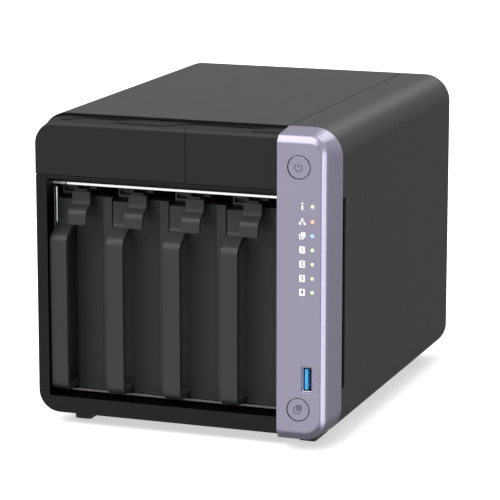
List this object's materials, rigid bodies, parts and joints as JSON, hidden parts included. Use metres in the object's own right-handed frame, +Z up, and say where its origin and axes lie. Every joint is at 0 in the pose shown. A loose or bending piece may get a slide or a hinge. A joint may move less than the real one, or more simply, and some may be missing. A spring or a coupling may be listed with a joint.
{
  "type": "network attached storage",
  "caption": "Desktop network storage unit with upright slide-out drive trays, latches, a raised control panel with buttons, lights and a USB socket, sheet covers and a rear fan.",
  "frame": {"origin": "middle of the footprint, on the surface that the feet stand on", "axes": "+X to the right seen from the front, +Y from the front to the back, +Z up"},
  "size_m": [0.17, 0.226, 0.17],
  "materials": {
    "cover_paint": "satin, finely textured dark grey powder coat",
    "plain_steel": "bright galvanised sheet",
    "bezel_plastic": "matte black moulding",
    "fascia_plastic": "satin black moulding",
    "lilac_paint": "pale metallic lilac paint, satin",
    "light_guide": "clear",
    "board": "circuit board with solder mask",
    "connector_metal": "plated shell",
    "connector_plastic": "moulded",
    "foot_rubber": "matte",
    "heatsink_metal": "extruded",
    "fan_plastic": "moulded",
    "guard_chrome": "plated",
    "tray_plastic": "fine moulded texture",
    "handle_plastic": "satin",
    "drive_metal": "cast and machined"
  },
  "bodies": {
    "root": {"left_cover": "cover_paint", "right_cover": "cover_paint", "base_plate": "plain_steel", "drive_cage": "plain_steel", "rear_panel": "plain_steel", "front_frame": "bezel_plastic", "upper_fascia_left": "fascia_plastic", "upper_fascia_right": "fascia_plastic", "control_panel": "lilac_paint", "light_guide": "light_guide", "front_io_board": "board", "backplane_board": "board", "main_board": "board", "memory_module": "board", "front_usb_socket": "connector_metal", "lan_socket_1": "connector_metal", "lan_socket_2": "connector_metal", "rear_usb_socket": "connector_metal", "video_socket": "connector_metal", "dc_inlet": "connector_plastic", "memory_socket": "connector_plastic", "sata_connector_1": "connector_plastic", "sata_connector_2": "connector_plastic", "sata_connector_3": "connector_plastic", "sata_connector_4": "connector_plastic", "foot_front_left": "foot_rubber", "foot_front_right": "foot_rubber", "foot_rear_left": "foot_rubber", "foot_rear_right": "foot_rubber", "cpu_heatsink": "heatsink_metal", "fan_frame": "fan_plastic", "fan_guard": "guard_chrome", "thumbscrew_left": "guard_chrome", "thumbscrew_right": "guard_chrome", "thumbscrew_lower": "guard_chrome"},
    "tray_1": {"tray_carrier_1": "tray_plastic", "tray_face_1": "tray_plastic", "tray_handle_1": "handle_plastic", "hard_drive_1": "drive_metal"},
    "latch_1": {"tray_latch_1": "handle_plastic"},
    "tray_2": {"tray_carrier_2": "tray_plastic", "tray_face_2": "tray_plastic", "tray_handle_2": "handle_plastic", "hard_drive_2": "drive_metal"},
    "latch_2": {"tray_latch_2": "handle_plastic"},
    "tray_3": {"tray_carrier_3": "tray_plastic", "tray_face_3": "tray_plastic", "tray_handle_3": "handle_plastic", "hard_drive_3": "drive_metal"},
    "latch_3": {"tray_latch_3": "handle_plastic"},
    "tray_4": {"tray_carrier_4": "tray_plastic", "tray_face_4": "tray_plastic", "tray_handle_4": "handle_plastic", "hard_drive_4": "drive_metal"},
    "latch_4": {"tray_latch_4": "handle_plastic"},
    "power_key": {"power_button": "lilac_paint"},
    "copy_key": {"copy_button": "lilac_paint"},
    "reset_key": {"reset_button": "connector_plastic"},
    "rotor": {"fan_rotor": "fan_plastic"}
  },
  "joints": [
    {"name": "tray_1_slide", "type": "slide", "parent": "root", "child": "tray_1", "axis": [0, -1, 0], "range_m": [0, 0.18]},
    {"name": "latch_1_pivot", "type": "hinge", "parent": "tray_1", "child": "latch_1", "pos_m": [-0.0627, -0.079, 0.1276], "axis": [1, 0, 0], "range_deg": [0, 8], "stiffness_Nm_per_rad": 0.15, "springref_deg": -11.46},
    {"name": "tray_2_slide", "type": "slide", "parent": "root", "child": "tray_2", "axis": [0, -1, 0], "range_m": [0, 0.18]},
    {"name": "latch_2_pivot", "type": "hinge", "parent": "tray_2", "child": "latch_2", "pos_m": [-0.0301, -0.079, 0.1276], "axis": [1, 0, 0], "range_deg": [0, 8], "stiffness_Nm_per_rad": 0.15, "springref_deg": -11.46},
    {"name": "tray_3_slide", "type": "slide", "parent": "root", "child": "tray_3", "axis": [0, -1, 0], "range_m": [0, 0.18]},
    {"name": "latch_3_pivot", "type": "hinge", "parent": "tray_3", "child": "latch_3", "pos_m": [0.0025, -0.079, 0.1276], "axis": [1, 0, 0], "range_deg": [0, 8], "stiffness_Nm_per_rad": 0.15, "springref_deg": -11.46},
    {"name": "tray_4_slide", "type": "slide", "parent": "root", "child": "tray_4", "axis": [0, -1, 0], "range_m": [0, 0.18]},
    {"name": "latch_4_pivot", "type": "hinge", "parent": "tray_4", "child": "latch_4", "pos_m": [0.0351, -0.079, 0.1276], "axis": [1, 0, 0], "range_deg": [0, 8], "stiffness_Nm_per_rad": 0.15, "springref_deg": -11.46},
    {"name": "power_press", "type": "slide", "parent": "root", "child": "power_key", "axis": [0, 1, 0], "range_m": [0, 0.0008], "stiffness_N_per_m": 600, "springref_m": -0.001},
    {"name": "copy_press", "type": "slide", "parent": "root", "child": "copy_key", "axis": [0, 1, 0], "range_m": [0, 0.0008], "stiffness_N_per_m": 600, "springref_m": -0.001},
    {"name": "reset_press", "type": "slide", "parent": "root", "child": "reset_key", "axis": [0, -1, 0], "range_m": [0, 0.0006], "stiffness_N_per_m": 400, "springref_m": -0.001},
    {"name": "rotor_spin", "type": "hinge", "parent": "root", "child": "rotor", "pos_m": [-0.0133, 0.0955, 0.078], "axis": [0, 1, 0], "continuous": true}
  ]
}
